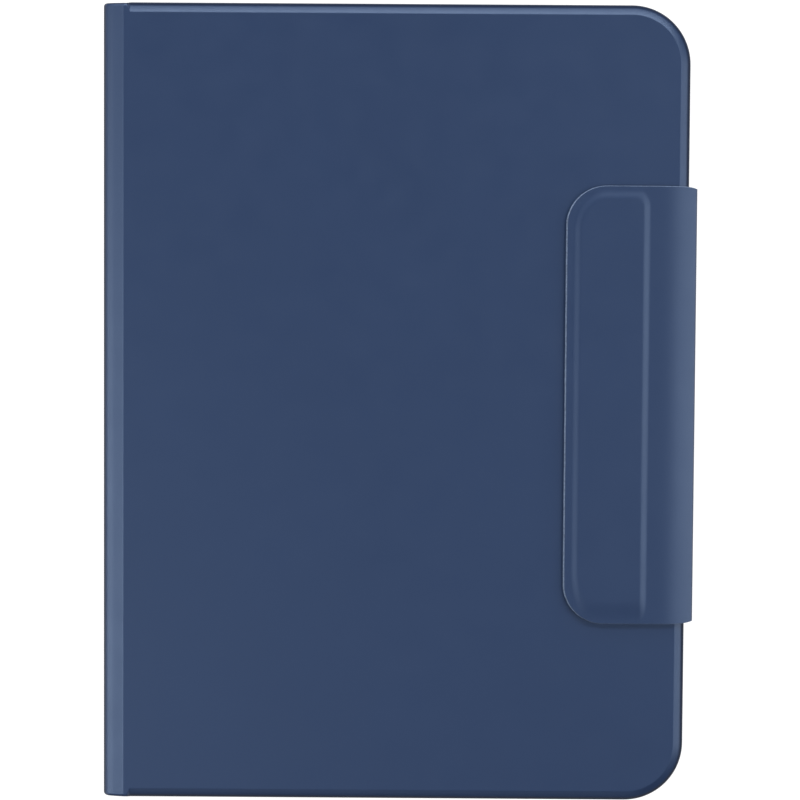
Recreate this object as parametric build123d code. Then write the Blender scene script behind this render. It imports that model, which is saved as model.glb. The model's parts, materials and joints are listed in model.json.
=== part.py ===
from build123d import *
import os

# Keyboard folio for a 10.9-inch tablet, closed and lying on its back, in millimetres.
# +Y runs along the long side, +Z is the case's thickness. While modelling, x = 0 is the
# outer face of the spine; `save` moves every piece so that the origin is the bottom centre.

# Driving dimensions -------------------------------------------------------------------
case_half_length = 129.0
cover_right = 189.0
overall_width = 191.6
cover_corner = 19.0
case_thickness = 19.0

crease_x = 6.25             # fold lines between the spine and the two covers
crease_depth = 0.3          # how far a fold line lies under the outer face
crease_gap = 0.5            # half of the bare skin between two stiff sections
skin = 0.6                  # one layer of synthetic leather

spine_board_thickness = 0.8
spine_lining_thickness = 0.4
shoulder_radius = crease_x - crease_gap

back_thickness = 2.3
back_board_thickness = 1.3
rim_width = 0.8             # skin turned round the edge of the back boards

stand_fold_x = 94.0         # fold of the kickstand
stand_fold_gap = 0.7
stand_thickness = 2.0
stand_right = 188.2
stand_board_bottom = 0.5
stand_board_top = 1.6

tray_left = 5.0
tray_right = 188.1
tray_half_length = 126.1
tray_wall = 1.5
tray_floor = 1.2
tray_corner = 14.0
tray_bottom = back_thickness
tray_top = 11.6
lip_thickness = 0.7
lip_overhang = 1.2
tray_lining_thickness = 0.3

camera_x = cover_right - 17.0
camera_y = case_half_length - 17.0
camera_radius = 8.0
camera_ring_width = 0.8

disc_magnet_radius = 5.0
disc_magnet_thickness = 0.8
disc_magnet_y = (-100.0, -40.0, 40.0)
disc_magnet_x = 158.0

cover_bottom = 13.4         # inner face of the front cover, with the keyboard in it
cover_side = 1.8            # skin and its turned-in hem along the cover's edge
cover_edge_radius = 3.0
cover_board_bottom = 17.4
cover_board_top = 18.4
cover_board_margin = 3.6    # from the cover's outline to its stiff board

keyboard_wall = 1.6
keyboard_floor_z = 16.6     # inside of the keyboard case's floor
deck_top = 14.3
key_unit = 16.5
key_gap = 2.0
key_face = 12.2
key_back = 13.8
key_clearance = 0.35
key_corner = 1.6
key_chamfer = 0.3
row_width_units = 14.5
function_row_x = 19.0
function_row_pitch = 9.0
main_rows_x = 29.5

trackpad_left = 117.0
trackpad_right = 173.0
trackpad_half = 52.0
trackpad_clearance = 0.3
trackpad_thickness = 0.8
trackpad_corner = 3.0

flap_half_length = 71.25
flap_thickness = 1.3
flap_lift = 0.7             # air between the closed flap and the cover
flap_bottom = case_thickness + flap_lift
flap_top = flap_bottom + flap_thickness
flap_left = 148.5
flap_corner = 13.0
flap_bend = 5.7             # outer radius of the bend over the cover's edge
flap_fold_angle = 45.0      # where in the bend the tongue hinges
base_bend = 2.4             # outer radius of the bend at the back
upper_bend = (overall_width - flap_bend, flap_top - flap_bend)
lower_bend = (overall_width - base_bend, tray_bottom + base_bend)
upper_gap = 8.5             # degrees of the bend left bare on each side of the fold
lower_gap = 22.0
flap_base_left = 166.0
flap_base_thickness = 0.5

pad_left = 151.4            # the stiffened, raised part of the tongue
pad_right = 174.8
pad_half_length = 68.6
pad_height = 0.6
pad_left_corner = 8.8
pad_right_corner = 3.0
pad_edge_radius = 0.4
bar_magnet_left = 160.0     # the flap's magnets lie over the cover's
bar_magnet_right = 168.0
bar_magnet_half = 20.0
bar_magnet_y = (-38.0, 38.0)

usb_x = 150.0
usb_width = 9.0
usb_length = 7.4
usb_bottom = 13.8
usb_top = 17.0
switch_x = 164.0
switch_width = 5.0
switch_travel = 3.5
switch_bottom = 14.7
switch_top = 16.1
switch_housing_bottom = 14.5
switch_housing_top = 15.8

bumper_x = (13.5, 182.0)
bumper_y = (-116.0, 116.0)
bumper_radius = 2.5
light_x = 14.5
light_y = (-92.0, -97.0, -102.0)
light_radius = 0.8

dome_radius = 2.4
dome_bottom = 15.1
dome_sheet_bottom = 15.5
dome_sheet_top = 15.8
membrane_top = 16.0
battery_left = 122.0
battery_right = 176.0
battery_low_y = -116.0
battery_high_y = -60.0
controller_low_y = 60.0
controller_high_y = 121.0
controller_bottom = 15.8


# Helpers ------------------------------------------------------------------------------
def block(x0, x1, y0, y1, z0, z1):
    """A plain box from its lowest to its highest corner."""
    return Pos((x0 + x1) / 2, (y0 + y1) / 2, (z0 + z1) / 2) * Box(x1 - x0, y1 - y0, z1 - z0)


def plate(x0, x1, half, z0, z1, left_corner=0.0, right_corner=0.0):
    """A plate centred on y = 0, with its own corner radius at each end."""
    body = block(x0, x1, -half, half, z0, z1)
    if left_corner:
        body = fillet(body.edges().filter_by(Axis.Z).group_by(Axis.X)[0], left_corner)
    if right_corner:
        body = fillet(body.edges().filter_by(Axis.Z).group_by(Axis.X)[-1], right_corner)
    return body


def disc(x, y, radius, z0, z1):
    """An upright cylinder between two heights."""
    return Pos(x, y, (z0 + z1) / 2) * Cylinder(radius, z1 - z0)


def bent_strip(center, outer, inner, start, end, half):
    """Part of a tube about a line along Y, from one angle to another, in degrees."""
    outside = CenterArc(center, outer, start, end - start)
    inside = CenterArc(center, inner, start, end - start)
    outline = outside + Line(outside @ 1, inside @ 1) + inside + Line(inside @ 0, outside @ 0)
    return extrude(Plane.XZ * make_face(outline), amount=half, both=True)


def save(name, shape):
    """Write one piece, moved so that the origin is the bottom centre of the case."""
    export_step(Pos(-overall_width / 2, 0, 0) * shape, f"parts/{name}.step")


def save_group(name, shapes):
    """Write several separate solids as one piece, moved like the others."""
    moved = [Pos(-overall_width / 2, 0, 0) * shape.solid() for shape in shapes]
    export_step(Compound(children=moved), f"parts/{name}.step")


# Back section, next to the spine ------------------------------------------------------
def back_section():
    left = crease_x + crease_gap
    right = stand_fold_x - stand_fold_gap
    board_top = skin + back_board_thickness
    inner_half = case_half_length - rim_width
    shell = plate(left, right, case_half_length, 0, back_thickness)
    low_edges = shell.edges().filter_by(Axis.X).group_by(Axis.Z)[0]
    shell = fillet(low_edges, 0.5)
    save("back_skin", shell - plate(left, right, inner_half, skin, back_thickness))
    save("back_board", plate(left, right, inner_half, skin, board_top))
    save("back_lining", plate(left, right, inner_half, board_top, back_thickness))


# Kickstand section, the outer half of the back ----------------------------------------
def kickstand():
    left = stand_fold_x + stand_fold_gap
    inner_right = stand_right - rim_width
    inner_half = case_half_length - rim_width
    inner_corner = cover_corner - rim_width
    hole = disc(camera_x, camera_y, camera_radius + camera_ring_width, -1, back_thickness)
    shell = plate(left, stand_right, case_half_length, 0, stand_thickness, 0, cover_corner)
    inside = plate(left, inner_right, inner_half, stand_board_bottom, stand_thickness, 0, inner_corner)
    save("kickstand_skin", shell - inside - hole)
    board = plate(left, inner_right, inner_half, stand_board_bottom, stand_board_top, 0, inner_corner)
    magnets = disc_magnets(stand_board_top - disc_magnet_thickness, stand_board_top)
    for magnet in magnets:
        board -= magnet
    save("kickstand_board", board - hole)
    lining = plate(left, inner_right, inner_half, stand_board_top, stand_thickness, 0, inner_corner)
    save("kickstand_lining", lining - hole)
    save_group("kickstand_magnets", magnets)
    ring = disc(camera_x, camera_y, camera_radius + camera_ring_width, 0, stand_thickness)
    save("camera_ring", ring - disc(camera_x, camera_y, camera_radius, -1, back_thickness))


def disc_magnets(z0, z1):
    """The three disc magnets that hold the kickstand to the tray."""
    return [disc(disc_magnet_x, y, disc_magnet_radius, z0, z1) for y in disc_magnet_y]


# Tablet tray --------------------------------------------------------------------------
def tablet_tray():
    floor_top = tray_bottom + tray_floor
    inner_left = tray_left + tray_wall
    inner_right = tray_right - tray_wall
    inner_half = tray_half_length - tray_wall
    inner_corner = tray_corner - tray_wall
    lip_bottom = tray_top - lip_thickness
    tray = plate(tray_left, tray_right, tray_half_length, tray_bottom, tray_top, tray_corner, tray_corner)
    tray -= plate(inner_left, inner_right, inner_half, floor_top, lip_bottom, inner_corner, inner_corner)
    tray -= plate(
        inner_left + lip_overhang,
        inner_right - lip_overhang,
        inner_half - lip_overhang,
        floor_top,
        tray_top + 1,
        inner_corner - lip_overhang,
        inner_corner - lip_overhang,
    )
    middle = (tray_left + tray_right) / 2
    slot_low = floor_top + 1.5
    slot_high = lip_bottom - 1.0
    outside = tray_half_length + 1
    inside = inner_half - 0.5
    # Charging port and speakers on one short side, buttons and speakers on the other.
    for x, width in ((middle, 13), (middle - 55, 22), (middle + 55, 22)):
        tray -= block(x - width / 2, x + width / 2, -outside, -inside, slot_low, slot_high)
    for x, width in ((middle + 60, 30), (middle - 62, 16), (middle + 5, 22)):
        tray -= block(x - width / 2, x + width / 2, inside, outside, slot_low, slot_high)
    hole = disc(camera_x, camera_y, camera_radius, 0, tray_top)
    tray -= hole
    magnets = disc_magnets(tray_bottom, tray_bottom + disc_magnet_thickness)
    for magnet in magnets:
        tray -= magnet
    recess = plate(flap_base_left, tray_right + 1, flap_half_length, 0, tray_bottom + flap_base_thickness)
    save("tablet_tray", tray - recess)
    save_group("tray_magnets", magnets)
    lining = plate(
        inner_left + 0.5,
        inner_right - 0.5,
        inner_half - 0.5,
        floor_top,
        floor_top + tray_lining_thickness,
        inner_corner - 0.5,
        inner_corner - 0.5,
    )
    save("tray_lining", lining - hole)


# Spine --------------------------------------------------------------------------------
def spine_shell(outer, inner_x, thickness):
    """A C-shaped strip: two quarter bends joined by a straight wall at x = inner_x."""
    low = (shoulder_radius, shoulder_radius)
    high = (shoulder_radius, case_thickness - shoulder_radius)
    wall = block(
        inner_x, inner_x + thickness, -case_half_length, case_half_length, low[1], high[1]
    )
    lower = bent_strip(low, outer, outer - thickness, 180, 270, case_half_length)
    upper = bent_strip(high, outer, outer - thickness, 90, 180, case_half_length)
    return wall + lower + upper


def spine():
    save("spine_skin", spine_shell(shoulder_radius, 0, skin))
    lining_x = skin + spine_board_thickness
    save("spine_lining", spine_shell(shoulder_radius - lining_x, lining_x, spine_lining_thickness))
    board = block(
        skin,
        lining_x,
        -case_half_length + 1,
        case_half_length - 1,
        shoulder_radius,
        case_thickness - shoulder_radius,
    )
    save("spine_board", board)


# Front cover --------------------------------------------------------------------------
def front_cover():
    left = crease_x + crease_gap
    inner_left = left + cover_side
    inner_right = cover_right - cover_side
    inner_half = case_half_length - cover_side
    inner_corner = cover_corner - cover_side
    shell = plate(left, cover_right, case_half_length, cover_bottom, case_thickness, 0, cover_corner)
    top = shell.faces().sort_by(Axis.Z)[-1]
    rim = [edge for edge in top.edges() if edge.center().X > left + 0.1]
    shell = fillet(rim, cover_edge_radius)
    shell -= plate(inner_left, inner_right, inner_half, cover_bottom, cover_board_bottom, 0, inner_corner)
    board = plate(
        inner_left,
        cover_right - cover_board_margin,
        case_half_length - cover_board_margin,
        cover_board_bottom,
        cover_board_top,
        0,
        cover_corner - cover_board_margin,
    )
    shell -= board
    shell -= usb_opening()
    shell -= switch_opening()
    save("front_cover_skin", shell)
    magnets = cover_magnets()
    for magnet in magnets:
        board -= magnet
    save("front_cover_board", board)
    save_group("cover_magnets", magnets)


def cover_magnets():
    """The two bar magnets in the front cover that the flap's magnets hold on to."""
    return bar_magnets(cover_board_bottom, cover_board_top)


def bar_magnets(z0, z1):
    """Two bars along Y between two heights."""
    half = bar_magnet_half
    return [block(bar_magnet_left, bar_magnet_right, y - half, y + half, z0, z1) for y in bar_magnet_y]


def usb_opening():
    """A slot in the cover's edge for the keyboard's charging plug."""
    half = usb_width / 2 + 0.5
    inside = case_half_length - cover_side - keyboard_wall - 1
    return block(usb_x - half, usb_x + half, inside, case_half_length + 1, usb_bottom, usb_top)


def switch_opening():
    """A slot in the cover's edge for the sliding power switch."""
    right = switch_x + switch_width + switch_travel + 0.4
    inside = case_half_length - cover_side - keyboard_wall - 1
    return block(
        switch_x - 0.4, right, inside, case_half_length + 1, switch_bottom - 0.3, switch_top + 0.3
    )


# Keyboard -----------------------------------------------------------------------------
def key_layout():
    """Every key as (node, x of its middle, y of its middle, depth, width)."""
    left = row_width_units * key_unit / 2
    keys = []

    def add_row(x, depth, entries):
        y = left
        for node, units in entries:
            pitch = units * key_unit
            keys.append((node, x, y - pitch / 2, depth, pitch - key_gap))
            y -= pitch

    full = key_unit - key_gap
    row_x = [main_rows_x + (i + 0.5) * key_unit for i in range(5)]
    function_width = row_width_units / 14
    function_depth = function_row_pitch - key_gap
    function_x = function_row_x + function_row_pitch / 2
    add_row(function_x, function_depth, [("function_keys", function_width)] * 14)
    add_row(row_x[0], full, [("number_keys", 1)] * 13 + [("backspace_key", 1.5)])
    add_row(row_x[1], full, [("tab_key", 1.5)] + [("top_letter_keys", 1)] * 13)
    home = [("caps_lock_key", 1.75)] + [("home_letter_keys", 1)] * 11 + [("return_key", 1.75)]
    add_row(row_x[2], full, home)
    bottom = [("left_shift_key", 2.25)] + [("bottom_letter_keys", 1)] * 10
    add_row(row_x[3], full, bottom + [("right_shift_key", 2.25)])
    modifiers = [("left_modifier_keys", 1)] * 3 + [("left_modifier_keys", 1.25), ("space_key", 5)]
    modifiers += [("right_modifier_keys", 1.25), ("right_modifier_keys", 1), ("left_arrow_key", 1)]
    add_row(row_x[4], full, modifiers)
    # The up and down arrows share one key's depth, beside the right arrow.
    half_depth = (full - 0.9) / 2
    arrow_y = -left + 1.5 * key_unit
    shift = (full - half_depth) / 2
    keys.append(("up_arrow_key", row_x[4] - shift, arrow_y, half_depth, full))
    keys.append(("down_arrow_key", row_x[4] + shift, arrow_y, half_depth, full))
    keys.append(("right_arrow_key", row_x[4], -left + 0.5 * key_unit, full, full))
    return keys


def keycap(x, y, depth, width):
    """One low keycap with its finger face towards -Z."""
    height = key_back - key_face
    cap = Pos(x, y, (key_face + key_back) / 2) * Box(depth, width, height)
    cap = fillet(cap.edges().filter_by(Axis.Z), key_corner)
    return chamfer(cap.faces().sort_by(Axis.Z)[0].edges(), key_chamfer)


def keys():
    groups = {}
    for node, x, y, depth, width in key_layout():
        groups.setdefault(node, []).append(keycap(x, y, depth, width))
    for node, caps in groups.items():
        save_group(node, caps)


def keyboard_case():
    left = crease_x + crease_gap + cover_side
    right = cover_right - cover_side
    half = case_half_length - cover_side
    corner = cover_corner - cover_side
    inner_left = left + keyboard_wall
    inner_right = right - keyboard_wall
    inner_half = half - keyboard_wall
    inner_corner = corner - keyboard_wall
    base = plate(left, right, half, cover_bottom, cover_board_bottom, 0, corner)
    base -= plate(inner_left, inner_right, inner_half, cover_bottom, keyboard_floor_z, 0, inner_corner)
    base -= usb_opening()
    base -= switch_opening()
    save("keyboard_base", base)

    deck = plate(inner_left, inner_right, inner_half, cover_bottom, deck_top, 0, inner_corner)
    holes = Sketch()
    for _, x, y, depth, width in key_layout():
        hole = RectangleRounded(
            depth + 2 * key_clearance, width + 2 * key_clearance, key_corner + key_clearance
        )
        holes += Pos(x, y) * hole
    deck -= Pos(0, 0, cover_bottom - 1) * extrude(holes, amount=deck_top - cover_bottom + 2)
    deck -= plate(
        trackpad_left - trackpad_clearance,
        trackpad_right + trackpad_clearance,
        trackpad_half + trackpad_clearance,
        cover_bottom - 1,
        deck_top + 1,
        trackpad_corner,
        trackpad_corner,
    )
    deck -= usb_port_space()
    lights = indicator_lights()
    for light in lights:
        deck -= light
    save("keyboard_deck", deck)
    save_group("indicator_lights", lights)
    bumper_face = tray_top + 0.3
    spots = [(x, y) for x in bumper_x for y in bumper_y]
    bumpers = [disc(x, y, bumper_radius, bumper_face, cover_bottom) for x, y in spots]
    save_group("rubber_bumpers", bumpers)


def indicator_lights():
    """Three light pipes above the keys' right end."""
    return [disc(light_x, y, light_radius, cover_bottom, deck_top) for y in light_y]


def usb_port_space():
    """The space taken by the charging socket."""
    y1 = case_half_length - cover_side - 0.4
    half = usb_width / 2
    return block(usb_x - half, usb_x + half, y1 - usb_length, y1, usb_bottom, keyboard_floor_z)


def keyboard_inside():
    keys_right = main_rows_x + 5 * key_unit
    sheet_left = function_row_x - 1
    sheet_half = row_width_units * key_unit / 2 + 2
    sheet = plate(sheet_left, keys_right, sheet_half, dome_sheet_bottom, dome_sheet_top)
    domes = [disc(x, y, dome_radius, dome_bottom, dome_sheet_bottom) for _, x, y, _, _ in key_layout()]
    save("dome_sheet", sheet + domes)
    save("key_membrane", plate(sheet_left, keys_right, sheet_half, dome_sheet_top, membrane_top))
    backplate = plate(sheet_left - 1, keys_right, sheet_half + 1, membrane_top, keyboard_floor_z)
    save("key_backplate", backplate)
    battery = block(
        battery_left, battery_right, battery_low_y, battery_high_y, deck_top + 0.1, keyboard_floor_z
    )
    save("battery", fillet(battery.edges().filter_by(Axis.Z), 2))


def controller():
    """The keyboard's circuit board with two chips, and its charging socket."""
    board = block(
        battery_left, battery_right, controller_low_y, controller_high_y, controller_bottom, keyboard_floor_z
    )
    board += block(132, 142, 80, 90, controller_bottom - 1.0, controller_bottom)
    board += block(150, 156, 78, 88, controller_bottom - 0.8, controller_bottom)
    socket = usb_port_space()
    save("controller_board", board - socket)
    wall = 0.3
    half = usb_width / 2 - wall
    mouth_end = case_half_length - cover_side
    mouth = block(
        usb_x - half, usb_x + half, mouth_end - 6.4, mouth_end, usb_bottom + wall, keyboard_floor_z - wall
    )
    save("usb_c_port", socket - mouth)


def trackpad():
    top = cover_bottom + trackpad_thickness
    pad = plate(
        trackpad_left, trackpad_right, trackpad_half, cover_bottom, top, trackpad_corner, trackpad_corner
    )
    save("trackpad_plate", pad)
    board = plate(trackpad_left + 2, trackpad_right - 2, trackpad_half - 2, top, top + 1.0)
    save("trackpad_board", board)
    x = (trackpad_left + trackpad_right) / 2
    save("trackpad_switch", disc(x, 0, 2.5, top + 1.5, keyboard_floor_z))


def power_switch():
    side = case_half_length - cover_side
    knob = block(
        switch_x, switch_x + switch_width, side - 3.5, case_half_length - 0.3, switch_bottom, switch_top
    )
    knob = fillet(knob.edges().filter_by(Axis.Y), 0.5)
    save("power_switch", knob)
    housing_right = switch_x + switch_width + switch_travel + 1
    housing = block(
        switch_x - 1, housing_right, side - 5.3, side - 3.8, switch_housing_bottom, switch_housing_top
    )
    save("switch_housing", housing)


# Closing flap -------------------------------------------------------------------------
def flap_base():
    start = tray_right + 0.2
    low = plate(flap_base_left, start, flap_half_length, tray_bottom, tray_bottom + flap_base_thickness)
    run = plate(start, lower_bend[0], flap_half_length, tray_bottom, tray_bottom + flap_thickness)
    inner = base_bend - flap_thickness
    bend = bent_strip(lower_bend, base_bend, inner, -90, -45 - lower_gap, flap_half_length)
    save("flap_base", low + run + bend)


def flap_gusset():
    layers = (
        ("flap_gusset_skin", 0, skin),
        ("flap_gusset_lining", skin, flap_thickness),
    )
    for name, outer, inner in layers:
        low = bent_strip(
            lower_bend, base_bend - outer, base_bend - inner, -45 + lower_gap, 0, flap_half_length
        )
        wall = plate(
            overall_width - inner, overall_width - outer, flap_half_length, lower_bend[1], upper_bend[1]
        )
        end = flap_fold_angle - upper_gap
        high = bent_strip(upper_bend, flap_bend - outer, flap_bend - inner, 0, end, flap_half_length)
        save(name, low + wall + high)


def flap_tongue():
    skin_bottom = flap_top - skin
    start = flap_fold_angle + upper_gap
    pad_top = flap_top + pad_height
    bend = bent_strip(upper_bend, flap_bend, flap_bend - skin, start, 90, flap_half_length)
    tongue = plate(flap_left, upper_bend[0], flap_half_length, skin_bottom, flap_top, flap_corner)
    pad = plate(
        pad_left, pad_right, pad_half_length, skin_bottom, pad_top, pad_left_corner, pad_right_corner
    )
    pad = fillet(pad.faces().sort_by(Axis.Z)[-1].edges(), pad_edge_radius)
    pocket = plate(
        pad_left + skin,
        pad_right - skin,
        pad_half_length - skin,
        skin_bottom,
        pad_top - skin,
        pad_left_corner - skin,
        pad_right_corner - skin,
    )
    save("flap_skin", bend + tongue + pad - pocket)
    magnets = bar_magnets(skin_bottom, pad_top - skin)
    stiffener = pocket
    for magnet in magnets:
        stiffener -= magnet
    save("flap_stiffener", stiffener)
    save_group("flap_magnets", magnets)
    lining_inner = flap_bend - flap_thickness
    lining = plate(flap_left, upper_bend[0], flap_half_length, flap_bottom, skin_bottom, flap_corner)
    lining += bent_strip(upper_bend, flap_bend - skin, lining_inner, start, 90, flap_half_length)
    save("flap_lining", lining)


def main():
    os.makedirs("parts", exist_ok=True)
    back_section()
    kickstand()
    tablet_tray()
    spine()
    front_cover()
    keyboard_case()
    keyboard_inside()
    controller()
    keys()
    trackpad()
    power_switch()
    flap_base()
    flap_gusset()
    flap_tongue()


main()
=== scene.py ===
import json
import math

import bpy
from mathutils import Matrix, Vector

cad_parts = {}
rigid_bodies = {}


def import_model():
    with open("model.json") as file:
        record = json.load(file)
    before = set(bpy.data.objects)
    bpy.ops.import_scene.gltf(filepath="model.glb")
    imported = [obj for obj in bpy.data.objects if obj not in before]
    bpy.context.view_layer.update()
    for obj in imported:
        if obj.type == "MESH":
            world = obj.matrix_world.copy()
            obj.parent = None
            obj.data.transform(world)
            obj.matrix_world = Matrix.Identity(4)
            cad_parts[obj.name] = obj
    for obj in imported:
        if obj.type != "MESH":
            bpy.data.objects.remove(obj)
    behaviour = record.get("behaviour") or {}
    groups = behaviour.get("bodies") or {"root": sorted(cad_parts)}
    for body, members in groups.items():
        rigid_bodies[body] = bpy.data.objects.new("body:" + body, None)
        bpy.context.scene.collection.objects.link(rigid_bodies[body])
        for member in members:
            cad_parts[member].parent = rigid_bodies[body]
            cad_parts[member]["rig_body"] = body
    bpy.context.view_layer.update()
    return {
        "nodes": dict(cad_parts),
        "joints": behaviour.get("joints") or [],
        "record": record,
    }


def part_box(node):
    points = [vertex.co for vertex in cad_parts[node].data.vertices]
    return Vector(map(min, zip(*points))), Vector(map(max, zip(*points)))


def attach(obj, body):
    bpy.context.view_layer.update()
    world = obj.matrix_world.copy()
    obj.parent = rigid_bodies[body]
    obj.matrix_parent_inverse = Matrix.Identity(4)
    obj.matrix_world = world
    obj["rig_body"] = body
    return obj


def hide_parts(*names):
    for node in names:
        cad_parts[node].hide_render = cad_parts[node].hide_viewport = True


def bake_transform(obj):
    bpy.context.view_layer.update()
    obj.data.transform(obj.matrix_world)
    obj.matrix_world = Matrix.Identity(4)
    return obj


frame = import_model()

MM = 0.001
nodes = frame["nodes"]
joints = {joint["name"]: joint for joint in frame["joints"]}

# Places taken from the frame, and the cover's outline -----------------------------------
cover_low, cover_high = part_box("front_cover_skin")
spine_low, spine_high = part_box("spine_skin")
back_low, back_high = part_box("back_skin")
stand_low, stand_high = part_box("kickstand_skin")
tongue_low, tongue_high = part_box("flap_skin")
gusset_low, gusset_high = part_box("flap_gusset_skin")
base_low, base_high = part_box("flap_base")
stiffener_low, stiffener_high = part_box("flap_stiffener")
ring_low, ring_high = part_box("camera_ring")

half_length = cover_high[1]
cover_top = cover_high[2]
cover_corner = 19.0 * MM
front_crease = Vector(joints["front_crease"]["pos_m"])
back_crease = Vector(joints["back_crease"]["pos_m"])
stand_fold = Vector(joints["back_stand_fold"]["pos_m"])


# Materials ------------------------------------------------------------------------------
class Shader:
    """A principled material with short calls for its procedural detail."""

    def __init__(self, name, color, roughness, **sockets):
        self.material = bpy.data.materials.new(name)
        self.material.use_nodes = True
        self.tree = self.material.node_tree
        self.shader = self.tree.nodes["Principled BSDF"]
        self.color = color
        self.place = self.tree.nodes.new("ShaderNodeTexCoord").outputs["Object"]
        self.shader.inputs["Base Color"].default_value = (*color, 1)
        self.shader.inputs["Roughness"].default_value = roughness
        for socket, value in sockets.items():
            self.shader.inputs[socket.replace("_", " ")].default_value = value
        self.height = None

    def noise(self, size, detail=2.0, stretch=(1, 1, 1)):
        """Noise whose features are about `size` metres across."""
        mapping = self.tree.nodes.new("ShaderNodeMapping")
        mapping.inputs["Scale"].default_value = stretch
        self.tree.links.new(self.place, mapping.inputs["Vector"])
        node = self.tree.nodes.new("ShaderNodeTexNoise")
        node.inputs["Scale"].default_value = 1 / size
        node.inputs["Detail"].default_value = detail
        self.tree.links.new(mapping.outputs["Vector"], node.inputs["Vector"])
        return node.outputs["Fac"]

    def cells(self, size):
        """Rounded cells about `size` metres across, as in leather grain."""
        node = self.tree.nodes.new("ShaderNodeTexVoronoi")
        node.inputs["Scale"].default_value = 1 / size
        self.tree.links.new(self.place, node.inputs["Vector"])
        return node.outputs["Distance"]

    def spread(self, field, low, high):
        """The field's middle half mapped to the range low to high."""
        node = self.tree.nodes.new("ShaderNodeMapRange")
        node.inputs["From Min"].default_value = 0.25
        node.inputs["From Max"].default_value = 0.75
        node.inputs["To Min"].default_value = low
        node.inputs["To Max"].default_value = high
        self.tree.links.new(field, node.inputs["Value"])
        return node.outputs["Result"]

    def vary_color(self, field, share):
        """Lightens and darkens the base colour by `share` along the field."""
        mix = self.tree.nodes.new("ShaderNodeMix")
        mix.data_type = "RGBA"
        ends = [[min(1, c * (1 + sign * share)) for c in self.color] for sign in (-1, 1)]
        mix.inputs[6].default_value = (*ends[0], 1)
        mix.inputs[7].default_value = (*ends[1], 1)
        self.tree.links.new(self.spread(field, 0, 1), mix.inputs[0])
        self.tree.links.new(mix.outputs[2], self.shader.inputs["Base Color"])

    def vary_roughness(self, field, low, high):
        self.tree.links.new(self.spread(field, low, high), self.shader.inputs["Roughness"])

    def fade(self, attribute, socket, plain, faded):
        """Takes a socket from plain to faded where the mesh's attribute goes from 0 to 1."""
        node = self.tree.nodes.new("ShaderNodeAttribute")
        node.attribute_name = attribute
        scale = self.tree.nodes.new("ShaderNodeMapRange")
        scale.inputs["To Min"].default_value = plain
        scale.inputs["To Max"].default_value = faded
        self.tree.links.new(node.outputs["Fac"], scale.inputs["Value"])
        self.tree.links.new(scale.outputs["Result"], self.shader.inputs[socket])

    def paint_shade(self, attribute, share):
        """Paints shade into the base colour, darkening it by `share` where the mesh's attribute
        reaches 1.
        """
        node = self.tree.nodes.new("ShaderNodeAttribute")
        node.attribute_name = attribute
        mix = self.tree.nodes.new("ShaderNodeMix")
        mix.data_type = "RGBA"
        base = self.shader.inputs["Base Color"]
        self.tree.links.new(node.outputs["Fac"], mix.inputs[0])
        self.tree.links.new(base.links[0].from_socket, mix.inputs[6])
        mix.inputs[7].default_value = (*[c * (1 - share) for c in self.color], 1)
        self.tree.links.new(mix.outputs[2], base)

    def bump(self, field, depth):
        """Raises the surface by `depth` metres along the field, on top of earlier bumps."""
        node = self.tree.nodes.new("ShaderNodeBump")
        node.inputs["Strength"].default_value = 1.0
        node.inputs["Distance"].default_value = depth
        self.tree.links.new(field, node.inputs["Height"])
        if self.height:
            self.tree.links.new(self.height, node.inputs["Normal"])
        self.height = node.outputs["Normal"]
        self.tree.links.new(self.height, self.shader.inputs["Normal"])


def leather():
    """Smooth synthetic leather with a very fine grain and a cool sheen, matt where it turns, and
    with painted shade darkening its colour there.
    """
    roughness = 0.39
    look = Shader("navy_leather", (0.0061, 0.0138, 0.0386), roughness)
    look.fade("turned", "Specular IOR Level", 0.5, 0.05)
    look.shader.inputs["Specular Tint"].default_value = (0.55, 0.72, 1.0, 1)
    look.vary_color(look.noise(30 * MM, 3), 0.02)
    # Painted shade: the base colour darkens by half where the skin turns over its edges, for the
    # shade on those steep sides.
    look.paint_shade("turned", 0.5)
    look.vary_roughness(look.noise(9 * MM, 3), roughness - 0.02, roughness + 0.02)
    look.bump(look.noise(22 * MM, 1), 0.015 * MM)
    look.bump(look.cells(0.55 * MM), 0.006 * MM)
    look.bump(look.noise(0.18 * MM, 2), 0.004 * MM)
    return look.material


def cut_edge():
    """The flap's raw edge, where the cut through the leather shows paler."""
    look = Shader("cut_edge", (0.078, 0.104, 0.156), 0.75, Specular_IOR_Level=0.2)
    look.vary_color(look.noise(0.6 * MM, 3), 0.45)
    look.bump(look.noise(0.25 * MM, 2), 0.03 * MM)
    return look.material


def microfibre():
    look = Shader("microfibre", (0.030, 0.036, 0.050), 0.95, Sheen_Weight=0.35)
    look.vary_color(look.noise(4 * MM, 4, (1, 0.5, 1)), 0.12)
    look.bump(look.noise(0.15 * MM, 4, (1, 0.35, 1)), 0.03 * MM)
    return look.material


def tray_plastic():
    look = Shader("tray_plastic", (0.020, 0.034, 0.075), 0.5)
    look.vary_roughness(look.noise(6 * MM, 3), 0.44, 0.54)
    look.bump(look.noise(0.12 * MM, 2), 0.006 * MM)
    return look.material


def deck_plastic():
    look = Shader("deck_plastic", (0.020, 0.021, 0.024), 0.5)
    look.vary_roughness(look.noise(5 * MM, 3), 0.44, 0.56)
    look.bump(look.noise(0.10 * MM, 2), 0.008 * MM)
    return look.material


def key_plastic():
    look = Shader("key_plastic", (0.013, 0.0135, 0.015), 0.42)
    look.vary_roughness(look.noise(7 * MM, 3), 0.36, 0.46)
    look.bump(look.noise(0.08 * MM, 2), 0.004 * MM)
    return look.material


def legend_paint():
    look = Shader("legend_paint", (0.62, 0.63, 0.64), 0.5)
    look.vary_color(look.noise(0.8 * MM), 0.06)
    return look.material


def trackpad_surface():
    look = Shader("trackpad_surface", (0.022, 0.023, 0.026), 0.3)
    look.vary_roughness(look.noise(15 * MM, 3), 0.27, 0.34)
    look.bump(look.noise(0.06 * MM, 2), 0.002 * MM)
    return look.material


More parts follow.
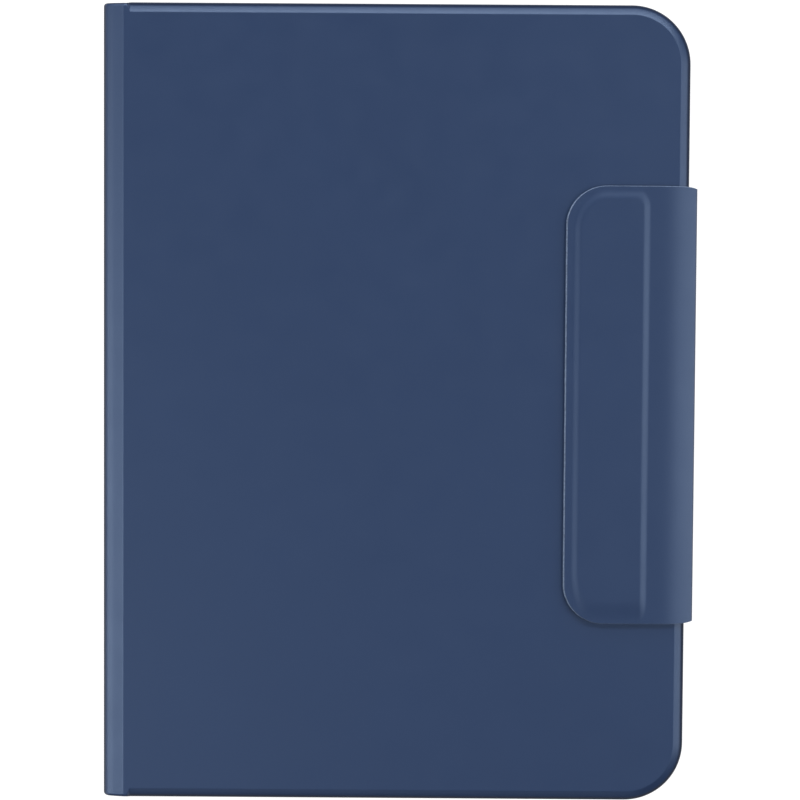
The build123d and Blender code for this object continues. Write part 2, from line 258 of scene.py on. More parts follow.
def rubber():
    look = Shader("black_rubber", (0.018, 0.018, 0.019), 0.75)
    look.bump(look.noise(0.2 * MM, 3), 0.02 * MM)
    return look.material


def fibre_board():
    look = Shader("fibre_board", (0.17, 0.155, 0.135), 0.85)
    look.vary_color(look.noise(0.8 * MM, 5, (1, 0.2, 1)), 0.25)
    look.bump(look.noise(0.3 * MM, 4, (1, 0.3, 1)), 0.04 * MM)
    return look.material


def steel(name, color, roughness):
    look = Shader(name, color, roughness, Metallic=1.0)
    look.vary_roughness(look.noise(2 * MM, 3, (1, 0.1, 1)), roughness * 0.8, roughness * 1.25)
    return look.material


def circuit_board():
    look = Shader("circuit_board", (0.012, 0.09, 0.035), 0.35)
    look.vary_color(look.cells(1.5 * MM), 0.3)
    return look.material


def light_pipe():
    look = Shader("light_pipe", (0.6, 0.63, 0.65), 0.25, Subsurface_Weight=0.2)
    look.vary_roughness(look.noise(0.5 * MM), 0.2, 0.3)
    return look.material


NAVY = leather()
EDGE = cut_edge()
FIBRE = microfibre()
TRAY = tray_plastic()
DECK = deck_plastic()
KEYS = key_plastic()
LEGEND = legend_paint()
TRACKPAD = trackpad_surface()
RUBBER = rubber()
BOARD = fibre_board()
NICKEL = steel("nickel", (0.62, 0.61, 0.58), 0.25)
PORT = steel("port_steel", (0.55, 0.55, 0.56), 0.35)
ALUMINIUM = steel("plate_aluminium", (0.72, 0.72, 0.73), 0.4)
CIRCUIT = circuit_board()
LIGHT = light_pipe()

SLOT_MATERIALS = {
    "cover_leather": NAVY,
    "lining_fabric": FIBRE,
    "grey_board": BOARD,
    "tray_plastic": TRAY,
    "keyboard_plastic": DECK,
    "key_plastic": KEYS,
    "trackpad_surface": TRACKPAD,
    "black_rubber": RUBBER,
    "magnet_metal": NICKEL,
    "port_steel": PORT,
    "plate_aluminium": ALUMINIUM,
    "circuit_board": CIRCUIT,
    "battery_foil": ALUMINIUM,
    "light_plastic": LIGHT,
}
for entry in frame["record"]["subparts"]:
    data = nodes[entry["node"]].data
    data.materials.clear()
    data.materials.append(SLOT_MATERIALS[entry["material_slot"]])


# Mesh helpers ---------------------------------------------------------------------------
def make_mesh(name, points, faces, materials, face_materials=None, sharp_angle=40):
    """A smooth-shaded mesh object that keeps edges sharper than sharp_angle degrees."""
    data = bpy.data.meshes.new(name)
    data.from_pydata([tuple(point) for point in points], [], faces)
    for material in materials:
        data.materials.append(material)
    if face_materials:
        data.polygons.foreach_set("material_index", face_materials)
    data.validate()
    data.shade_smooth()
    data.set_sharp_from_angle(angle=math.radians(sharp_angle))
    thing = bpy.data.objects.new(name, data)
    bpy.context.scene.collection.objects.link(thing)
    return thing


def loft(name, rings, materials, sharp_angle=40, strip_materials=None):
    """Closed rings of equal length joined in order, with both ends capped.
    strip_materials gives the material index of each strip between two rings."""
    count = len(rings[0])
    points = [point for ring in rings for point in ring]
    faces = [list(range(count))[::-1]]
    indices = [0]
    for row in range(len(rings) - 1):
        for i in range(count):
            j = (i + 1) % count
            a, b = row * count, (row + 1) * count
            faces.append([a + i, a + j, b + j, b + i])
            indices.append(strip_materials[row] if strip_materials else 0)
    last = (len(rings) - 1) * count
    faces.append([last + i for i in range(count)])
    indices.append(0)
    return make_mesh(name, points, faces, materials, indices, sharp_angle)


def rounded_ring(x0, x1, half, left_corner, right_corner, z, steps):
    """A rounded rectangle at height z, counter-clockwise from its right end's lower corner."""
    corners = (
        (x1 - right_corner, right_corner - half, right_corner, -90),
        (x1 - right_corner, half - right_corner, right_corner, 0),
        (x0 + left_corner, half - left_corner, left_corner, 90),
        (x0 + left_corner, left_corner - half, left_corner, 180),
    )
    ring = []
    for cx, cy, radius, start in corners:
        for i in range(steps + 1):
            angle = math.radians(start + 90 * i / steps)
            ring.append(Vector((cx + radius * math.cos(angle), cy + radius * math.sin(angle), z)))
    return ring


def inset_ring(x0, x1, half, left_corner, right_corner, inset, z, left_share=1.0, steps=24):
    """The rounded rectangle moved inwards by inset, and by left_share of it on the left."""
    smallest = 0.2 * MM
    return rounded_ring(
        x0 + inset * left_share,
        x1 - inset,
        half - inset,
        max(left_corner - inset, smallest),
        max(right_corner - inset, smallest),
        z,
        steps,
    )


def ease(share):
    """A share held between 0 and 1, with a soft start and end."""
    share = min(max(share, 0), 1)
    return share * share * (3 - 2 * share)


def turned_share(angle, start_degrees=27):
    """How far a surface at this tilt from flat counts as turned over, from 0 to 1."""
    growth_degrees = 22
    return ease((math.degrees(angle) - start_degrees) / growth_degrees)


def soft_edge(width, start_degrees, turn_degrees, wide_share, steps):
    """An edge as (inset, drop, turned share), from its crisp inner line to its upright side.
    A wide arc takes wide_share of the width up to turn_degrees, and a tight one the rest."""
    start, turn = math.radians(start_degrees), math.radians(turn_degrees)
    wide = width * wide_share / (math.sin(turn) - math.sin(start))
    tight = width * (1 - wide_share) / (1 - math.sin(turn))
    edge = []
    for i in range(steps + 1):
        angle = start + (turn - start) * i / steps
        inset = width - wide * (math.sin(angle) - math.sin(start))
        edge.append((inset, wide * (math.cos(start) - math.cos(angle)), turned_share(angle)))
    fallen = edge[-1][1]
    for i in range(1, 2 * steps + 1):
        angle = turn + (math.pi / 2 - turn) * i / (2 * steps)
        drop = fallen + tight * (math.cos(turn) - math.cos(angle))
        edge.append((tight * (1 - math.sin(angle)), drop, turned_share(angle)))
    return edge


def ride(piece, body, slot=None, *replaced):
    """Attach a piece to its body and hide the CAD nodes it stands for. slot is not used."""
    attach(piece, body)
    if replaced:
        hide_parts(*replaced)
    return piece


# Front cover and spine ------------------------------------------------------------------
def u_outline(x_start, x_far, half, corner, inset):
    """Points round three sides of a panel, from its fold at x_start and back to the fold."""
    radius = max(corner - inset, 0.2 * MM)
    cx, cy = x_far - inset - radius, half - inset - radius
    near = [x_start + step * MM for step in (0, 0.2, 0.4, 0.6, 0.8, 1, 1.2, 1.4, 2.5, 4, 6)]
    lower = [(x, inset - half) for x in near]
    for i in range(25):
        angle = math.radians(90 * i / 24 - 90)
        lower.append((cx + radius * math.cos(angle), radius * math.sin(angle) - cy))
    return lower + [(x, -y) for x, y in reversed(lower)]


def shoulder_path(fold_x, side_x, top, middle, plateau_angle, ridge_angle):
    """The skin's section from a fold over the spine's shoulder and down to half height.
    Each station is (x, z, outward normal x, outward normal z)."""
    plateau = math.radians(plateau_angle)
    ridge = math.radians(ridge_angle)
    turn = math.radians(28)
    wide_radius = 8 * MM
    # Each run is (length, angle at its start, angle at its end, steps).
    runs = [
        (0.15 * MM, 0, ridge, 3),
        (0.40 * MM, ridge, plateau, 4),
        (2.6 * MM, plateau, plateau, 3),
        (wide_radius * (turn - plateau), plateau, turn, 6),
    ]
    x, z = fold_x, top
    stations = [(x, z, 0.0, 1.0)]

    def walk(length, start, end, steps):
        nonlocal x, z
        for i in range(steps):
            angle = start + (end - start) * (i + 0.5) / steps
            x -= length / steps * math.cos(angle)
            z -= length / steps * math.sin(angle)
            slope = start + (end - start) * (i + 1) / steps
            stations.append((x, z, -math.sin(slope), math.cos(slope)))

    for run in runs:
        walk(*run)
    tight_radius = (x - side_x) / (1 - math.sin(turn))
    walk(tight_radius * (math.pi / 2 - turn), turn, math.pi / 2, 16)
    walk(z - middle, math.pi / 2, math.pi / 2, 3)
    return stations


def wrapped_panel(name, panel, levels, skirt, path, end_share, spine_depth, upside_down):
    """One skin that covers a panel on three sides, crosses the fold on its fourth side and
    runs over half of the spine. levels and skirt are (inset, drop, turned share) from the
    outline, and end_share is how much of the rim is left at the spine's ends."""
    x_far, half, corner, outer_z = panel
    flip = -1 if upside_down else 1
    fold_x, fold_z = path[0][:2]
    x_start = fold_x + 0.8 * MM
    morph = 1.4 * MM
    shorter = 0.4 * MM
    tab = 2 * MM
    points, faces, turned = [], [], []

    def place(x, y, depth, share):
        points.append(Vector((x, y, outer_z - flip * depth)))
        turned.append(share)
        return len(points) - 1

    def face(*corners):
        faces.append(list(corners) if flip > 0 else list(corners)[::-1])

    rings = []
    for row, (inset, drop, share) in enumerate(levels + skirt):
        ring = []
        for x, y in u_outline(x_start, x_far, half, corner, inset):
            t = ease((x - x_start) / morph)
            y = math.copysign(abs(y) - shorter * (1 - t), y)
            if row < len(levels):
                scale = end_share + (1 - end_share) * t
                y += math.copysign(inset * (1 - scale), y)
                ring.append(place(x, y, drop * scale, share))
            else:
                ring.append(place(x, y, drop, share))
        rings.append(ring)
    count = len(rings[0])
    top_rings = rings[: len(levels)]
    for outer, inner in zip(top_rings, top_rings[1:]):
        for i in range(count - 1):
            face(outer[i], outer[i + 1], inner[i + 1], inner[i])
    face(*top_rings[-1])
    sides = [rings[0]] + rings[len(levels):]
    for upper, lower in zip(sides, sides[1:]):
        for i in range(count - 1):
            face(lower[i], lower[i + 1], upper[i + 1], upper[i])
    flat = [(fold_x + 0.1 * MM * i, fold_z, 0.0, 1.0) for i in range(7, 0, -1)]
    columns = [(-1, *level) for level in levels] + [(1, *level) for level in reversed(levels)]
    previous = [ring[0] for ring in top_rings] + [ring[-1] for ring in reversed(top_rings)]
    edge_before = None
    for x, z, nx, nz in flat + path:
        row = []
        leaning = turned_share(math.acos(max(min(nz, 1), -1)), start_degrees=42)
        for sign, inset, drop, share in columns:
            y = sign * (half - shorter - inset * end_share)
            depth = drop * end_share
            height = fold_z - (z - nz * depth)
            row.append(place(x - nx * depth, y, height, max(share, leaning)))
        for i in range(len(columns) - 1):
            face(row[i + 1], row[i], previous[i], previous[i + 1])
        end = half - shorter
        edge = [
            place(x - nx * spine_depth, sign * y, fold_z - (z - nz * spine_depth), 1.0)
            for sign, y in ((-1, end), (-1, end - tab), (1, end - tab), (1, end))
        ]
        edge = edge[:2][::-1] + [row[0], row[-1]] + edge[2:][::-1]
        if edge_before:
            # Gap 2 is the skin's outer face, which the row above already made.
            for i in (0, 1, 3, 4):
                face(edge[i + 1], edge[i], edge_before[i], edge_before[i + 1])
        edge_before = edge
        previous = row
    piece = make_mesh(name, points, faces, [NAVY], None, 65)
    mark = piece.data.attributes.new("turned", "FLOAT", "POINT")
    mark.data.foreach_set("value", turned)
    return piece


def rim_levels(edge, flat_steps):
    """A panel's edge as (inset, drop, turned share), from its outermost line to the flat middle."""
    width = edge[0][0]
    return edge[::-1] + [(width + step * MM, 0.0, 0.0) for step in flat_steps]


def blend_at(piece):
    """Bake a piece's transform into its mesh."""
    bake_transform(piece)


def cover_and_spine():
    height = spine_high[2] - spine_low[2]
    spine_side = spine_low[0] - 0.25 * MM
    depth = cover_high[2] - cover_low[2]
    middle = cover_top - height / 2
    front_fold_x = front_crease.x + 0.35 * MM
    upper = shoulder_path(
        front_fold_x, spine_side, cover_top, middle, plateau_angle=13, ridge_angle=19
    )
    cover = wrapped_panel(
        "cover_leather",
        (cover_high[0] - 0.2 * MM, half_length, cover_corner, cover_top),
        rim_levels(soft_edge(3.35 * MM, 19, 30, 0.55, 6), (0.08, 0.25, 1.0, 4.0)),
        [
            (0.0, depth - 0.5 * MM, 1.0),
            (0.04 * MM, depth - 0.24 * MM, 1.0),
            (0.18 * MM, depth - 0.08 * MM, 1.0),
            (0.45 * MM, depth, 1.0),
            (1.6 * MM, depth, 1.0),
            (1.75 * MM, depth - 0.15 * MM, 1.0),
            (1.75 * MM, 0.7 * MM, 1.0),
        ],
        upper,
        end_share=0.25,
        spine_depth=1.0 * MM,
        upside_down=False,
    )
    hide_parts("front_cover_skin", "spine_skin")
    blend_at(cover)
    thickness = back_high[2] - back_low[2]
    lower = shoulder_path(
        back_crease.x, spine_side, cover_top, middle, plateau_angle=10, ridge_angle=14
    )
    back = wrapped_panel(
        "back_leather",
        (back_high[0], half_length, 0.8 * MM, back_low[2]),
        rim_levels(soft_edge(1.1 * MM, 10, 30, 0.4, 4), (0.05, 0.2, 1.0, 3.0)),
        [
            (0.0, thickness - 0.3 * MM, 1.0),
            (0.1 * MM, thickness - 0.08 * MM, 1.0),
            (0.35 * MM, thickness, 1.0),
            (0.75 * MM, thickness, 1.0),
            (0.8 * MM, thickness - 0.1 * MM, 1.0),
            (0.8 * MM, 0.7 * MM, 1.0),
        ],
        lower,
        end_share=0.7,
        spine_depth=1.0 * MM,
        upside_down=True,
    )
    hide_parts("back_skin")
    blend_at(back)
    spine_inner_lining(upper)


def spine_inner_lining(upper):
    """Fabric on the inside of the spine, from one fold to the other. upper is the section
    of the upper shoulder, and the lower one is its mirror."""
    middle = (spine_low[2] + spine_high[2]) / 2
    whole = [station for station in upper if station[0] < front_crease.x - 0.5 * MM]
    whole += [(x, 2 * middle - z, nx, -nz) for x, z, nx, nz in reversed(whole)]
    end = half_length - 1.2 * MM
    outer_depth, inner_depth = 0.95 * MM, 1.45 * MM
    rings = []
    for y in (-end, end):
        front, behind = (
            [Vector((x - nx * depth, y, z - nz * depth)) for x, z, nx, nz in whole]
            for depth in (outer_depth, inner_depth)
        )
        rings.append(front + behind[::-1])
    inside = loft("spine_inner_lining", rings, [FIBRE], 50)
    ride(inside, "spine", "lining_fabric", "spine_lining")


def crease_strip(name, center, z_outer, inward, reach):
    """A strip of bare skin that crosses one fold. inward is +1 or -1 along Z."""
    thickness = 0.45 * MM
    end = half_length - 0.8 * MM
    steps = 24
    xs = [center.x - reach + 2 * reach * i / steps for i in range(steps + 1)]
    out = [(x, z_outer) for x in xs]
    back = [(x, z_outer + inward * thickness) for x in reversed(xs)]
    rings = [[Vector((x, y, z)) for x, z in out + back] for y in (-end, end)]
    piece = loft(name, rings, [NAVY], 50)
    blend_at(piece)


# Kickstand ------------------------------------------------------------------------------
def with_hole(piece, center, radius, z0, z1):
    """Cut a round hole through a piece."""
    steps = 64
    rings = [
        [
            Vector((
                center[0] + radius * math.cos(2 * math.pi * i / steps),
                center[1] + radius * math.sin(2 * math.pi * i / steps),
                z,
            ))
            for i in range(steps)
        ]
        for z in (z0, z1)
    ]
    cutter = loft("hole_cutter", rings, [NAVY])
    change = piece.modifiers.new("hole", "BOOLEAN")
    change.operation = "DIFFERENCE"
    change.object = cutter
    change.solver = "EXACT"
    bpy.context.view_layer.update()
    graph = bpy.context.evaluated_depsgraph_get()
    cut = bpy.data.meshes.new_from_object(piece.evaluated_get(graph))
    piece.modifiers.clear()
    piece.data = cut
    bpy.data.objects.remove(cutter)
    return piece


def kickstand_leather():
    top = stand_high[2]
    floor = stand_low[2]
    rim_width = 1.1 * MM
    corner = cover_corner
    rings = []

    def add(inset, z):
        rings.append(
            inset_ring(stand_low[0], stand_high[0], half_length, 0.8 * MM, corner, inset, z, 0.25)
        )

    for inset, z in ((3.0, 0.0), (2.0, 0.0), (1.4, 0.0)):
        add(inset * MM, floor + z * MM)
    for inset, drop, _ in soft_edge(rim_width, 10, 30, 0.4, 4):
        add(inset, floor + drop + 0.02 * MM)
    add(0, top - 0.3 * MM)
    add(0.1 * MM, top - 0.08 * MM)
    add(0.35 * MM, top)
    add(0.9 * MM, top)
    add(1.0 * MM, top - 0.2 * MM)
    piece = loft("kickstand_leather", [ring[::-1] for ring in rings], [NAVY], 50)
    center = (ring_low + ring_high) / 2
    radius = (ring_high[0] - ring_low[0]) / 2
    with_hole(piece, center, radius - 0.05 * MM, floor - MM, top + MM)
    ride(piece, "kickstand", "cover_leather", "kickstand_skin")


# Flap -----------------------------------------------------------------------------------
PAD_RISE = 0.45 * MM
FLAP_SKIN = 0.6 * MM
FLAP_TOTAL = 1.1 * MM
FLAP_LIFT = 0.9 * MM
BASE_BEND = 2.4 * MM
flap_right = gusset_high[0] - 0.3 * MM
flap_tip = tongue_low[0] + 0.5 * MM
flap_corner = 13.0 * MM
flap_half = tongue_high[1] - 0.45 * MM
flap_shift = 0.25 * MM
flap_top = cover_top + FLAP_LIFT + FLAP_TOTAL
flap_flat_end = flap_right - 12.8 * MM


def flap_route():
    """The strap's outer face as (x, z, normal x, normal z), from where it leaves the flat."""
    tilt = math.radians(28)
    growth = 2.2
    edge_radius = 1.6 * MM
    slope_end = flap_right - edge_radius * (1 - math.sin(tilt))
    run = slope_end - flap_flat_end
    line = []
    for i in range(1, 17):
        share = i / 16
        angle = math.atan(math.tan(tilt) * share**growth)
        z = flap_top - math.tan(tilt) * run * share ** (growth + 1) / (growth + 1)
        line.append((flap_flat_end + run * share, z, math.sin(angle), math.cos(angle)))
    cx = flap_right - edge_radius
    cz = line[-1][1] - edge_radius * math.cos(tilt)
    for i in range(1, 17):
        angle = tilt + (math.pi / 2 - tilt) * i / 16
        nx, nz = math.sin(angle), math.cos(angle)
        line.append((cx + edge_radius * nx, cz + edge_radius * nz, nx, nz))
    wall_bottom = base_low[2] + BASE_BEND
    for i in range(1, 9):
        line.append((flap_right, cz + (wall_bottom - cz) * i / 8, 1.0, 0.0))
    for i in range(1, 17):
        angle = math.radians(-90 * i / 16)
        nx, nz = math.cos(angle), math.sin(angle)
        x = flap_right - BASE_BEND + BASE_BEND * nx
        line.append((x, wall_bottom + BASE_BEND * nz, nx, nz))
    glued_end = base_low[0] + 8 * MM
    line.append((glued_end, base_low[2], 0.0, -1.0))
    return line


def narrowing(x, z):
    """How much shorter the strap is on each side where it goes round the cover's edge."""
    if z <= base_high[2] + 2 * MM:
        return 0.8 * MM
    share = min(max((x - flap_flat_end) / (flap_right - flap_flat_end), 0), 1)
    return (0.25 * share * share + 0.55 * share**8) * MM


def pad_height(x, y):
    """How far the board under the skin lifts the tongue at a point. The slope falls over
    `rise` on the right, and over rise / steepness on the other sides."""
    rise = 2.4 * MM
    foot = 1.2 * MM
    left_steepness = 0.82
    steepness, reach, roundness = (0.68, 2.0 * MM, 1) if y > 0 else (0.32, 2.6 * MM, 0.6)
    x0 = stiffener_low[0] + 0.3 * MM - foot / left_steepness
    x1 = stiffener_high[0] + 0.75 * MM + foot
    half = stiffener_high[1] + reach
    radius = roundness * (9.4 * MM if x < (x0 + x1) / 2 else 4.2 * MM)
    qx = max((x0 - x) * left_steepness, x - x1) + radius
    qy = (abs(y) - half) * steepness + radius
    outside = math.hypot(max(qx, 0), max(qy, 0)) + min(max(qx, qy), 0) - radius
    return PAD_RISE * ease(-outside / rise)


def graded(start, end, fine, coarse, specials, near):
    """Positions from start to end, fine near the special places and coarse elsewhere."""
    places = [start]
    while places[-1] < end - 1e-9:
        here = places[-1]
        step = fine if min(abs(here - special) for special in specials) < near else coarse
        places.append(min(here + step, end))
    return places


def flap_rows():
    """The strap's outer face as rows of (position, normal), from the tongue's tip down."""
    corner = flap_corner
    tip_xs = [flap_tip + corner * (1 - math.cos(math.radians(a))) for a in range(0, 30, 3)]
    specials = [stiffener_low[0], stiffener_high[0]]
    xs = tip_xs + graded(tip_xs[-1], flap_flat_end, 0.25 * MM, 1.2 * MM, specials, 2 * MM)[1:]
    pad_end = stiffener_high[1]
    distances = graded(0, flap_half, 0.3 * MM, 3.0 * MM, [pad_end, pad_end - 8 * MM], 6 * MM)
    shares = [-d / flap_half for d in reversed(distances[1:])] + [d / flap_half for d in distances]
    step = 0.05 * MM
    rows = []
    for x in xs:
        into = corner - (x - flap_tip)
        cut = corner - math.sqrt(max(corner * corner - into * into, 0)) if into > 0 else 0
        row = []
        for share in shares:
            y = share * (flap_half - cut)
            slope_x = (pad_height(x + step, y) - pad_height(x - step, y)) / (2 * step)
            slope_y = (pad_height(x, y + step) - pad_height(x, y - step)) / (2 * step)
            normal = Vector((-slope_x, -slope_y, 1)).normalized()
            row.append((Vector((x, y, flap_top + pad_height(x, y))), normal))
        rows.append(row)
    for x, z, nx, nz in flap_route():
        half = flap_half - narrowing(x, z)
        rows.append([(Vector((x, s * half, z)), Vector((nx, 0, nz))) for s in shares])
    return rows


def without_pad(rows):
    """The same rows with the tongue flat."""
    level = []
    for row in rows:
        flat = []
        for position, normal in row:
            if position.x < flap_flat_end and position.z > cover_top:
                position = Vector((position.x, position.y, flap_top))
                normal = Vector((0, 0, 1))
            flat.append((position, normal))
        level.append(flat)
    return level


def strap_layer(name, outer, inner, insets, materials):
    """A closed layer between two sets of points, with its rim in the second material.
    insets are how far the outer and the inner face stop short of the strap's outline, more
    at the tip than along the sides. The tip's edge wavers a little, as a cut edge does."""
    tip_share, side_share = 1.5, 0.6
    columns = len(outer[0])
    points = []
    for rows, inset in zip((outer, inner), insets):
        for row in rows:
            for p in row:
                along = min(max(1 - (p.x - flap_tip) / flap_corner, 0), 1)
                across = math.sqrt(1 - along * along)
                waver = 0.03 * MM * math.sin(p.y / (1.7 * MM)) * math.sin(p.y / (4 * MM))
                x = p.x + (tip_share * inset + waver) * along
                y = flap_shift + p.y * (1 - side_share * inset * across / row[-1].y)
                points.append(Vector((x, y, p.z)))
    count = len(outer) * columns
    faces, indices = [], []
    for r in range(len(outer) - 1):
        for c in range(columns - 1):
            a = r * columns + c
            quad = [a, a + columns, a + columns + 1, a + 1]
            faces += [quad, [count + i for i in reversed(quad)]]
            indices += [0, 0]
    last = len(outer) - 1
    rim = list(range(columns))
    rim += [r * columns + columns - 1 for r in range(1, last + 1)]
    rim += [last * columns + c for c in range(columns - 2, -1, -1)]
    rim += [r * columns for r in range(last - 1, 0, -1)]
    for i, a in enumerate(rim):
        b = rim[(i + 1) % len(rim)]
        faces.append([a, b, count + b, count + a])
        indices.append(1)
    return make_mesh(name, points, faces, materials, indices, 35)


def sunk(rows, depth):
    """The rows' positions moved in along their normals."""
    return [[position - normal * depth for position, normal in row] for row in rows]


def flap():
    rows = flap_rows()
    level = without_pad(rows)
    middle = (gusset_low[2] + gusset_high[2]) / 2
    lining_inset = 0.35 * MM
    split = next(i for i, row in enumerate(rows) if row[0][0].z < middle)
    skin_inner = sunk(level, FLAP_SKIN)
    layers = (
        (
            "leather",
            sunk(rows, 0),
            skin_inner,
            ((0.3 * MM, 0), [NAVY, EDGE]),
            "cover_leather",
            (["flap_skin", "flap_stiffener", "flap_gusset_skin"], ["flap_base"]),
        ),
        (
            "lining",
            skin_inner,
            sunk(level, FLAP_TOTAL),
            ((lining_inset, lining_inset), [FIBRE, FIBRE]),
            "lining_fabric",
            (["flap_lining", "flap_gusset_lining"], []),
        ),
    )
    for label, outer, inner, finish, slot, stands_for in layers:
        front = strap_layer("flap_" + label, outer[: split + 1], inner[: split + 1], *finish)
        back = strap_layer("strap_" + label, outer[split:], inner[split:], *finish)
        for piece, nodes_shown in zip((front, back), stands_for):
            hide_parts(*nodes_shown)
        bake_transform(front)
        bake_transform(back)


# Linings --------------------------------------------------------------------------------
def lining_sheet(name, node, body, left_corner, right_corner, hole=None):
    """A thin fabric pad with a soft edge that stands for a CAD lining."""
    low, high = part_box(node)
    soft = min(0.3 * MM, (high[2] - low[2]) * 0.8)
    rings = []

    def add(inset, z):
        rings.append(
            inset_ring(low[0], high[0], high[1], left_corner, right_corner, inset, z, 1.0, 16)
        )

    add(0, low[2])
    add(0, high[2] - soft)
    for a in (25, 50, 75, 90):
        angle = math.radians(a)
        add(soft * (1 - math.cos(angle)), high[2] - soft + soft * math.sin(angle))
    add(1.0 * MM, high[2])
    piece = loft(name, rings, [FIBRE], 50)
    if hole:
        with_hole(piece, *hole, low[2] - MM, high[2] + MM)
    ride(piece, body, "lining_fabric", node)


def linings():
    center = (ring_low + ring_high) / 2
    radius = (ring_high[0] - ring_low[0]) / 2
    tray_corner = 12.0 * MM
    tray_hole = 8.0 * MM
    square_corner = 0.5 * MM
    lining_sheet(
        "tray_microfibre", "tray_lining", "back_case", tray_corner, tray_corner, (center, tray_hole)
    )
    lining_sheet("back_microfibre", "back_lining", "back_case", square_corner, square_corner)
    lining_sheet(
        "kickstand_microfibre",
        "kickstand_lining",
        "kickstand",
        square_corner,
        18.2 * MM,
        (center, radius),
    )


# Key legends ----------------------------------------------------------------------------
LEGENDS = {
    "function_keys": ["esc"] + [f"F{i}" for i in range(1, 13)] + ["del"],
    "number_keys": list("`1234567890-="),
    "backspace_key": ["back"],
    "tab_key": ["tab"],
    "top_letter_keys": list("QWERTYUIOP[]\\"),
    "caps_lock_key": ["caps"],
    "home_letter_keys": list("ASDFGHJKL;'"),
    "return_key": ["return"],
    "left_shift_key": ["shift"],
    "bottom_letter_keys": list("ZXCVBNM,./"),
    "right_shift_key": ["shift"],
    "left_modifier_keys": ["fn", "ctrl", "alt", "cmd"],
    "right_modifier_keys": ["cmd", "alt"],
    "left_arrow_key": ["<"],
    "up_arrow_key": ["^"],
    "down_arrow_key": ["v"],
    "right_arrow_key": [">"],
}


def key_places(node):
    """The middle of each keycap's finger face, from the typist's left to right."""
    data = nodes[node].data
    ys = sorted({round(vertex.co.y, 6) for vertex in data.vertices}, reverse=True)
    low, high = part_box(node)
    spans = [[ys[0], ys[0]]]
    for y in ys[1:]:
        if spans[-1][1] - y > 1.0 * MM and gap_between(data, y, spans[-1][1]):
            spans.append([y, y])
        spans[-1][1] = y
    return [Vector(((low[0] + high[0]) / 2, (a + b) / 2, low[2])) for a, b in spans]


def gap_between(data, y0, y1):
    """True if no face of the mesh crosses the middle of the stretch from y0 to y1."""
    middle = (y0 + y1) / 2
    for polygon in data.polygons:
        ys = [data.vertices[i].co.y for i in polygon.vertices]
        if min(ys) < middle < max(ys):
            return False
    return True


def legend_mesh(text, size):
    """One legend as points and faces in its own plane, centred on the origin."""
    curve = bpy.data.curves.new("legend", "FONT")
    curve.body = text
    curve.size = size
    curve.align_x = "CENTER"
    curve.align_y = "CENTER"
    curve.extrude = 0.015 * MM
    curve.resolution_u = 4
    thing = bpy.data.objects.new("legend", curve)
    bpy.context.scene.collection.objects.link(thing)
    bpy.context.view_layer.update()
    graph = bpy.context.evaluated_depsgraph_get()
    data = bpy.data.meshes.new_from_object(thing.evaluated_get(graph))
    points = [vertex.co.copy() for vertex in data.vertices]
    faces = [list(polygon.vertices) for polygon in data.polygons]
    bpy.data.objects.remove(thing)
    return points, faces


def legends():
    """The printed legends, which face the tray and stand upright for the typist."""
    facing = Matrix(((0, -1, 0), (-1, 0, 0), (0, 0, -1)))
    sign_size, word_size, function_size = 3.9 * MM, 2.9 * MM, 2.3 * MM
    for node, texts in LEGENDS.items():
        points, faces = [], []
        places = key_places(node)
        for text, place in zip(texts, places):
            size = sign_size if len(text) == 1 else word_size
            if node == "function_keys":
                size = function_size
            found, made = legend_mesh(text, size)
            start = len(points)
            points += [facing @ point + place for point in found]
            faces += [[start + i for i in face] for face in made]
        piece = make_mesh("legends_" + node, points, faces, [LEGEND], None, 30)
        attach(piece, nodes[node]["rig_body"])


# Stage ----------------------------------------------------------------------------------
def camera():
    """Almost straight down, from a little towards the top."""
    distance = 880 * MM
    look_at = Vector((0.14 * MM, 1.59 * MM, cover_top))
    towards_top = math.radians(-3.34)
    towards_spine = math.radians(0.19)
    roll = math.radians(0.364)
    turn = (
        Matrix.Rotation(roll, 4, "Z")
        @ Matrix.Rotation(towards_spine, 4, "Y")
        @ Matrix.Rotation(towards_top, 4, "X")
    )
    data = bpy.data.cameras.new("camera")
    data.sensor_width = 36
    data.lens = 122.56
    data.clip_start = 0.01
    data.clip_end = 10
    thing = bpy.data.objects.new("camera", data)
    thing.matrix_world = Matrix.Translation(look_at) @ turn @ Matrix.Translation((0, 0, distance))
    bpy.context.scene.collection.objects.link(thing)
    bpy.context.scene.camera = thing


def area_light(name, place, target, size, power):
    data = bpy.data.lights.new(name, "AREA")
    data.shape = "RECTANGLE"
    data.size, data.size_y = size
    data.energy = power
    thing = bpy.data.objects.new(name, data)
    thing.location = place
    direction = Vector(target) - Vector(place)
    thing.rotation_euler = direction.to_track_quat("-Z", "Y").to_euler()
    bpy.context.scene.collection.objects.link(thing)
    return thing


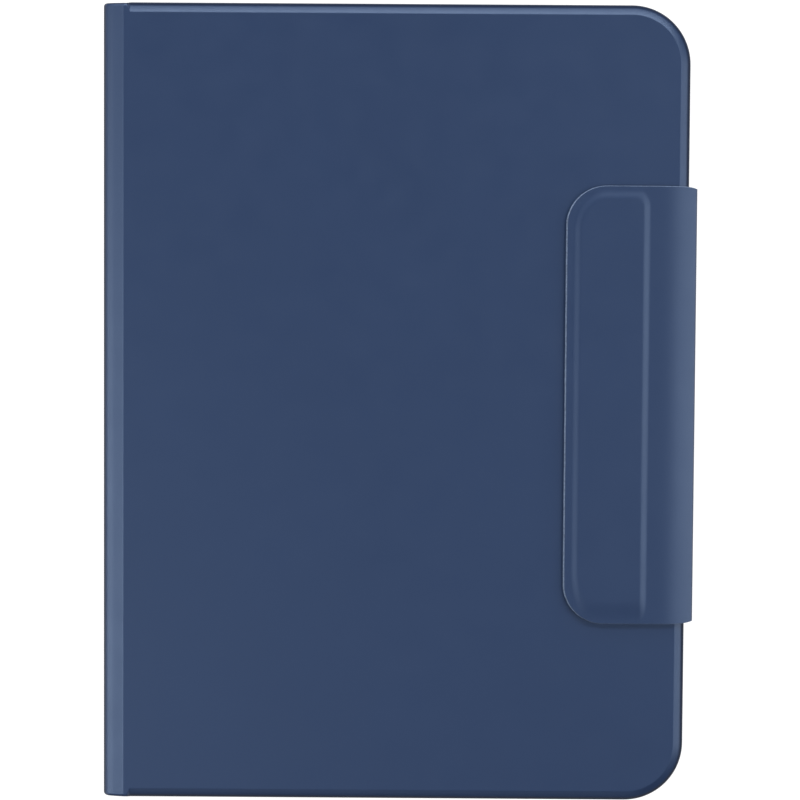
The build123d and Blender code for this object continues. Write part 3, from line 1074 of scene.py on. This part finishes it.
def stage():
    """A pale floor and sky that look almost white but light the case weakly, and softboxes."""
    bpy.context.scene.view_settings.view_transform = "Standard"
    seen_strength, lighting_strength = 0.97, 0.1
    world = bpy.data.worlds.new("studio")
    bpy.context.scene.world = world
    world.use_nodes = True
    sky = world.node_tree.nodes["Background"]
    sky.inputs["Color"].default_value = (1, 1, 1, 1)
    seen = world.node_tree.nodes.new("ShaderNodeLightPath").outputs["Is Camera Ray"]
    strength = world.node_tree.nodes.new("ShaderNodeMapRange")
    strength.inputs["To Min"].default_value = lighting_strength
    strength.inputs["To Max"].default_value = seen_strength
    world.node_tree.links.new(seen, strength.inputs["Value"])
    world.node_tree.links.new(strength.outputs["Result"], sky.inputs["Strength"])
    floor = Shader("pale_floor", (0.1, 0.1, 0.1), 0.9)
    floor.vary_color(floor.noise(200 * MM, 2), 0.004)
    floor.shader.inputs["Specular IOR Level"].default_value = 0.0
    floor.shader.inputs["Emission Color"].default_value = (1, 1, 1, 1)
    floor.shader.inputs["Emission Strength"].default_value = 0.96
    side = 3.0
    level = -0.05 * MM
    corners = ((-side, -side), (side, -side), (side, side), (-side, side))
    points = [(x, y, level) for x, y in corners]
    make_mesh("floor", points, [[0, 1, 2, 3]], [floor.material])
    area_light("overhead_softbox", (-0.45, -0.35, 1.15), (0, 0, 0), (0.8, 0.8), 3.0)
    area_light("top_softbox", (0.2, 1.7, 1.7), (0, 0, 0), (2.2, 0.6), 56)
    # The low light would glare off the cover in views from near the floor, so it only lights
    # what scatters, and a weaker one a little higher gives the top rim its shine.
    low_light = area_light("low_top_softbox", (0.3, 2.2, 0.5), (0, 0, 0), (3.0, 0.5), 42)
    low_light.visible_glossy = False
    area_light("shallow_top_softbox", (0.3, 2.1, 0.95), (0, 0, 0), (3.0, 0.5), 18)
    area_light("left_softbox", (-1.78, -0.35, 1.3), (0, -0.35, 0), (0.85, 2.0), 41)
    area_light("right_corner_softbox", (1.3, 1.25, 1.5), (0, 0, 0), (0.6, 0.6), 10)
    area_light("left_corner_softbox", (-1.25, 1.2, 1.5), (0, 0, 0), (0.6, 0.6), 14)
    area_light("right_softbox", (1.83, -0.15, 1.36), (0, -0.15, 0), (1.1, 3.6), 58)
    area_light("near_softbox", (-0.3, -1.8, 1.3), (0, 0, 0), (1.6, 0.7), 5)


camera()
stage()
cover_and_spine()
strip_z = back_low[2] + 0.3 * MM
crease_strip("stand_fold_strip", stand_fold, strip_z, 1, 1.4 * MM)
kickstand_leather()
flap()
linings()
legends()
